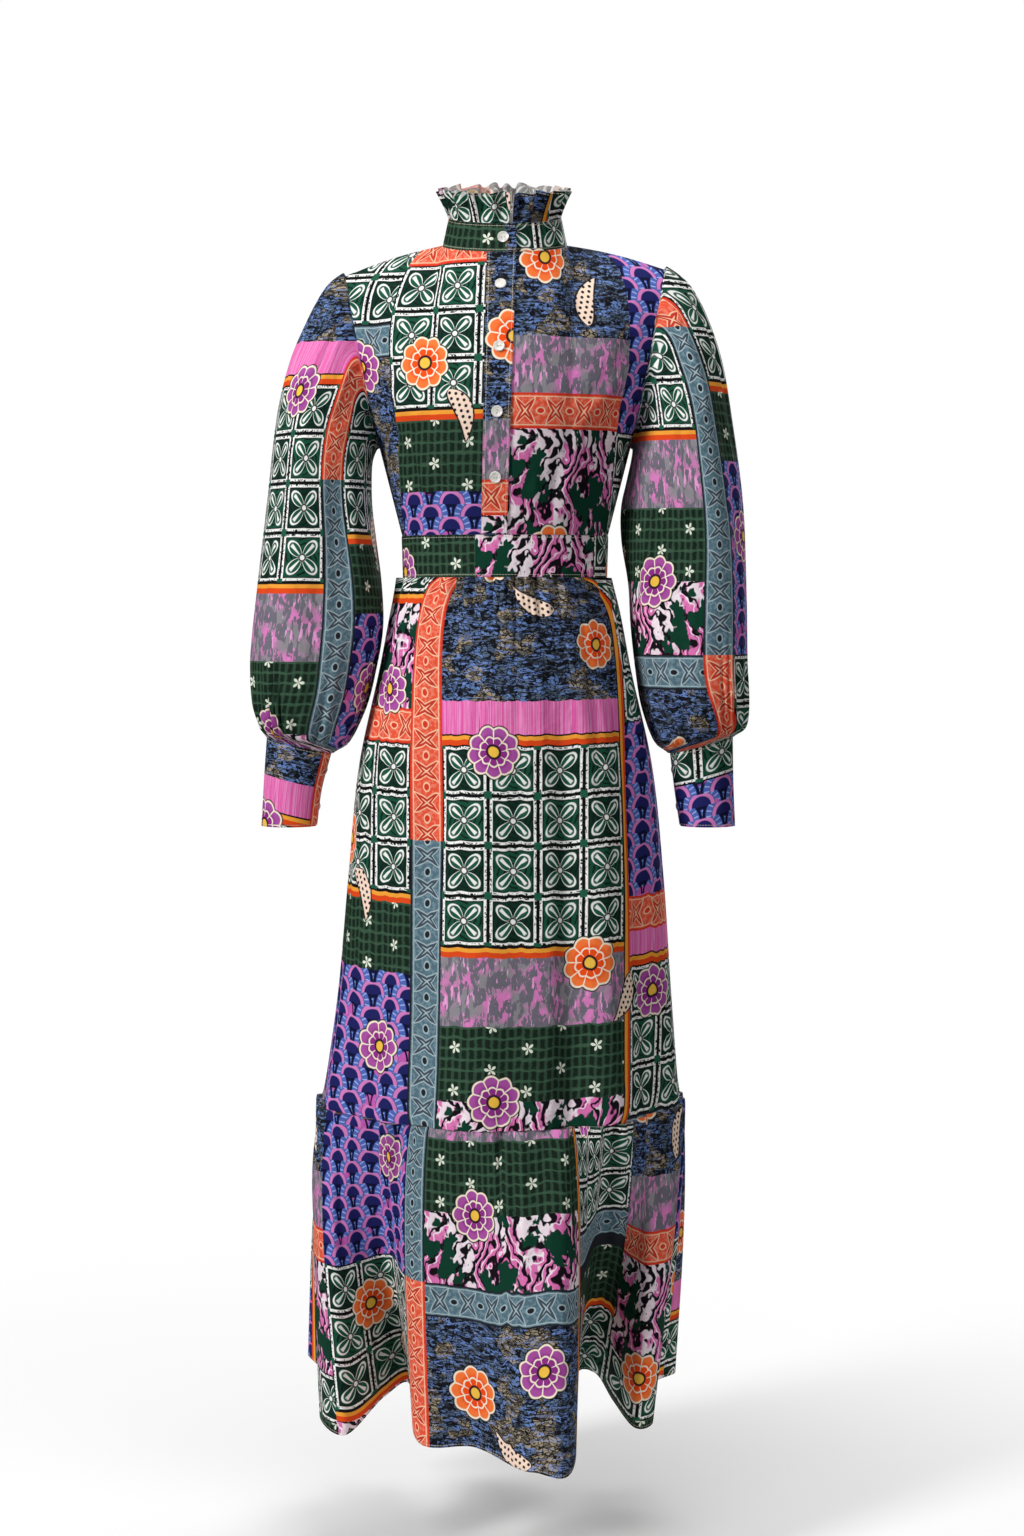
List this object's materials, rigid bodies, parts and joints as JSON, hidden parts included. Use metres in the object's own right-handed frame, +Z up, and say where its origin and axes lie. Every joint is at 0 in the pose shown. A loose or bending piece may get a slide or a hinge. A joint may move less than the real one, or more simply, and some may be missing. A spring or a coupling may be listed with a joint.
{
  "type": "lantern sleeve midi dress",
  "caption": "Hollow worn dress with a ruffled stand collar, buttoned half placket, lantern sleeves with cuffs, a waistband, a gathered skirt and a gathered hem flounce.",
  "frame": {"origin": "middle of the neck base, level with the foot of the collar stand, where the wearer's neck and shoulders carry the dress", "axes": "+X towards the viewer's right when facing the front, the front faces -Y, +Z up along the body"},
  "size_m": [0.5549, 0.4527, 1.396],
  "materials": {
    "bodice_cloth": "matt printed viscose, green and slate patchwork",
    "sleeve_cloth": "matt printed viscose, slate and navy patchwork",
    "skirt_cloth": "matt printed viscose, green and slate patchwork",
    "flounce_cloth": "matt printed viscose, mauve, orange and green patchwork",
    "collar_cloth": "matt printed viscose, orange, pink and navy patchwork",
    "band_cloth": "matt printed viscose, green, pink and purple patchwork",
    "pearl_button": "glossy pearly off-white, two holes"
  },
  "bodies": {
    "root": {"bodice_back": "bodice_cloth", "bodice_front_left": "bodice_cloth", "bodice_front_right": "bodice_cloth", "placket": "collar_cloth", "collar_stand": "collar_cloth", "collar_ruffle": "collar_cloth", "sleeve_left": "sleeve_cloth", "sleeve_right": "sleeve_cloth", "cuff_left": "sleeve_cloth", "cuff_right": "sleeve_cloth", "waistband_front": "band_cloth", "waistband_back": "band_cloth", "skirt_front": "skirt_cloth", "skirt_back": "skirt_cloth", "flounce_front": "flounce_cloth", "flounce_back": "flounce_cloth", "button_stand": "pearl_button", "button_front_1": "pearl_button", "button_front_2": "pearl_button", "button_front_3": "pearl_button", "button_front_4": "pearl_button", "button_cuff_left_1": "pearl_button", "button_cuff_left_2": "pearl_button", "button_cuff_right_1": "pearl_button", "button_cuff_right_2": "pearl_button"}
  },
  "joints": []
}
